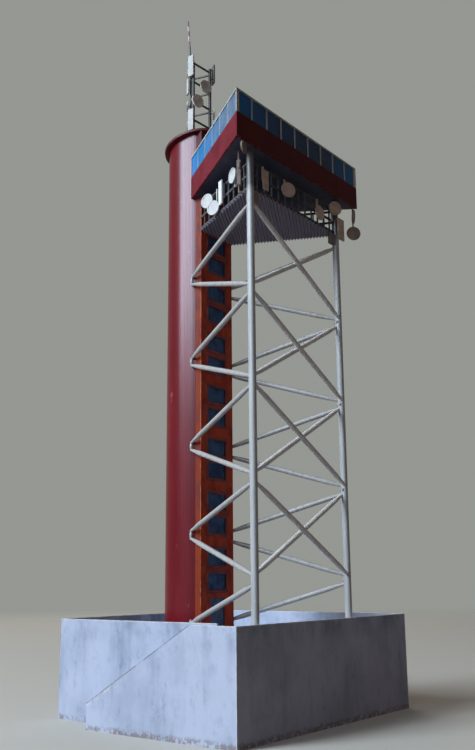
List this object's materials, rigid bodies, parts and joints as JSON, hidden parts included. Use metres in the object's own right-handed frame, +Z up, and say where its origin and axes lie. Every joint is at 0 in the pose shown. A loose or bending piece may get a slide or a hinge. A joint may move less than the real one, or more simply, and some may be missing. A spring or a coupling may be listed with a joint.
{
  "type": "card model of an observation tower",
  "caption": "Card model of an observation tower: walled court with stair, round stair shaft, two braced legs, gallery, glazed cabin and lattice mast.",
  "frame": {"origin": "middle of the model's footprint, at the level on which its court walls stand", "axes": "+Z up, -Y towards the wide front of the cabin, -X towards the side with the outside stair"},
  "size_m": [0.1068, 0.0932, 0.2873],
  "materials": {
    "court_card": "matt printed concrete",
    "deck_card": "matt printed concrete",
    "shaft_card": "satin ribbed card, dark red",
    "shaft_roof_card": "satin dark red",
    "strip_card": "matt printed brick",
    "shaft_window_print": "satin printed blue glass",
    "door_print": "matt printed grey door",
    "leg_wood": "painted pale grey",
    "brace_wood": "painted pale grey, pointed ends",
    "gallery_card": "corrugated, dark violet grey",
    "rail_light": "painted pale grey",
    "rail_dark": "painted dark grey",
    "plate_card": "dark grey",
    "aerial_white": "matt white",
    "aerial_beige": "matt beige",
    "band_card": "satin printed red",
    "frame_card": "satin printed cream",
    "glazing_print": "satin printed blue glass",
    "underside_card": "matt dark blue grey",
    "cabin_roof_card": "matt grey",
    "mast_wire": "matt dark grey brown",
    "rod_paint": "red and white stripes over a dark foot"
  },
  "bodies": {
    "root": {"front_wall": "court_card", "right_wall": "court_card", "back_wall": "court_card", "left_wall": "court_card", "deck": "deck_card", "landing": "deck_card", "stair_flight": "deck_card", "stair_wall": "court_card", "drum": "shaft_card", "drum_roof": "shaft_roof_card", "window_strip": "strip_card", "stair_windows": "shaft_window_print", "shaft_door": "door_print", "left_leg": "leg_wood", "right_leg": "leg_wood", "front_bracing": "brace_wood", "left_bracing": "brace_wood", "right_bracing": "brace_wood", "gallery_floor": "gallery_card", "front_railing": "rail_dark", "left_railing": "rail_light", "right_railing": "rail_light", "leg_plates": "plate_card", "left_dishes": "aerial_white", "left_panels": "aerial_white", "corner_aerials": "aerial_white", "front_dishes": "aerial_beige", "front_panels": "aerial_beige", "hanging_aerials": "aerial_beige", "cabin_floor": "underside_card", "cabin_roof": "cabin_roof_card", "cabin_front_band": "band_card", "cabin_left_band": "band_card", "cabin_right_band": "band_card", "cabin_front_frame": "frame_card", "cabin_left_frame": "frame_card", "cabin_right_frame": "frame_card", "cabin_front_glass": "glazing_print", "cabin_left_glass": "glazing_print", "cabin_right_glass": "glazing_print", "mast_frame": "mast_wire", "mast_panels": "aerial_white", "mast_dishes": "aerial_white", "mast_rod": "rod_paint"}
  },
  "joints": []
}
